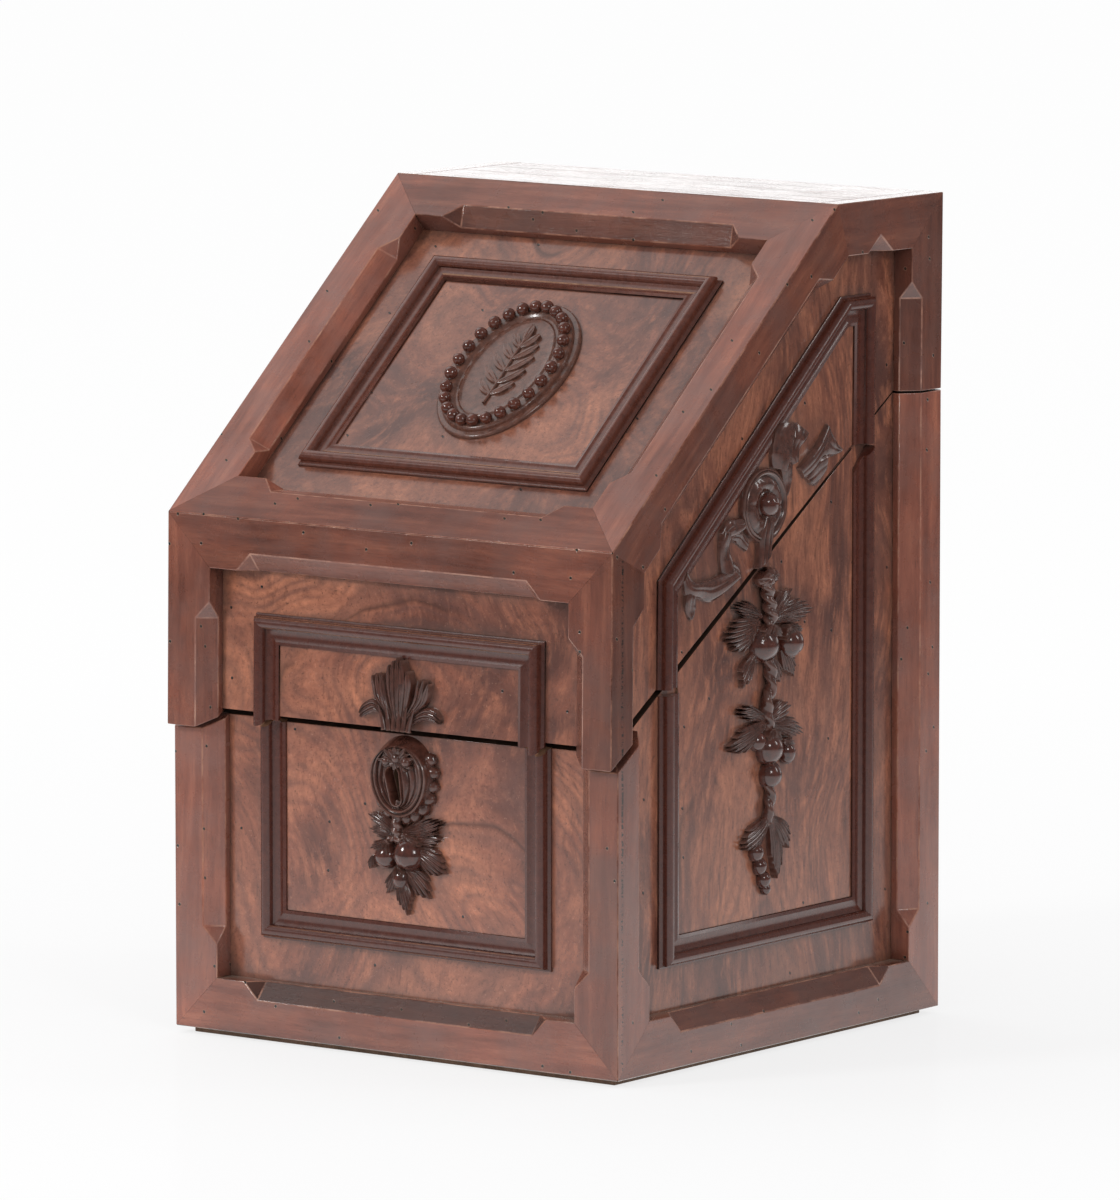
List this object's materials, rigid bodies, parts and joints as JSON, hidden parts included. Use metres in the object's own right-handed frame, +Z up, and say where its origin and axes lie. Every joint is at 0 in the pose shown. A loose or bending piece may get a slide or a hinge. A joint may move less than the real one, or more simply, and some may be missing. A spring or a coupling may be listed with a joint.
{
  "type": "cutlery box",
  "caption": "Slant-front wooden cutlery box with a hinged lid cut along a sloping parting line, carved and moulded panels, a box lock and a slotted rack inside.",
  "frame": {"origin": "middle of the box's plan, on the surface it stands on", "axes": "+Z up, +X to the right seen from the front, -Y out of the front face with the keyhole; the lid stands slightly ajar, as pictured"},
  "size_m": [0.24, 0.2506, 0.3653],
  "materials": {
    "frame_wood": "satin polish, straight-grained reddish brown",
    "burr_panel": "polished burr veneer, swirling orange-brown figure",
    "moulding": "glossy dark red-brown polish",
    "carving": "polished near-black brown carving",
    "beads": "polished dark turned beads",
    "carcass": "plain oiled carcass wood",
    "brass": "aged brass",
    "steel": "drawn steel wire"
  },
  "bodies": {
    "base": {"bottom_board": "carcass", "base_front_panel": "burr_panel", "base_back_panel": "carcass", "base_left_panel": "burr_panel", "base_right_panel": "burr_panel", "base_front_left_stile": "frame_wood", "base_front_right_stile": "frame_wood", "base_front_rail": "frame_wood", "base_right_front_stile": "frame_wood", "base_right_rear_stile": "frame_wood", "base_right_rail": "frame_wood", "base_left_front_stile": "frame_wood", "base_left_rear_stile": "frame_wood", "base_left_rail": "frame_wood", "base_front_moulding": "moulding", "base_right_moulding": "moulding", "base_left_moulding": "moulding", "keyhole_escutcheon": "carving", "fruit_pendant": "carving", "garland_right": "carving", "garland_left": "carving", "lock_case": "brass", "hinge_base_leaves": "brass", "hinge_pins": "steel", "rack_rails": "carcass", "rack_spacers": "carcass", "rack_bearers": "carcass"},
    "lid": {"lid_top_board": "frame_wood", "lid_slope_panel": "burr_panel", "lid_front_panel": "burr_panel", "lid_left_panel": "burr_panel", "lid_right_panel": "burr_panel", "lid_back_panel": "carcass", "slope_bottom_rail": "frame_wood", "slope_right_stile": "frame_wood", "slope_top_rail": "frame_wood", "slope_left_stile": "frame_wood", "lid_front_left_stile": "frame_wood", "lid_front_right_stile": "frame_wood", "lid_front_rail": "frame_wood", "lid_right_front_stile": "frame_wood", "lid_right_slant_rail": "frame_wood", "lid_right_top_rail": "frame_wood", "lid_right_rear_stile": "frame_wood", "lid_left_front_stile": "frame_wood", "lid_left_slant_rail": "frame_wood", "lid_left_top_rail": "frame_wood", "lid_left_rear_stile": "frame_wood", "slope_moulding": "moulding", "lid_front_moulding": "moulding", "lid_right_moulding": "moulding", "lid_left_moulding": "moulding", "palmette": "carving", "ribbon_and_disc_right": "carving", "ribbon_and_disc_left": "carving", "medallion_plate": "carving", "medallion_beads": "beads", "hinge_lid_leaves": "brass", "strike_plate": "brass"},
    "bolt": {"lock_bolt": "brass"}
  },
  "joints": [
    {"name": "lid_hinge", "type": "hinge", "parent": "base", "child": "lid", "pos_m": [0, 0.123, 0.27765], "axis": [-1, 0, 0], "range_deg": [0, 100]},
    {"name": "lock_bolt_slide", "type": "slide", "parent": "base", "child": "bolt", "axis": [1, 0, 0], "range_m": [0, 0.005]}
  ]
}
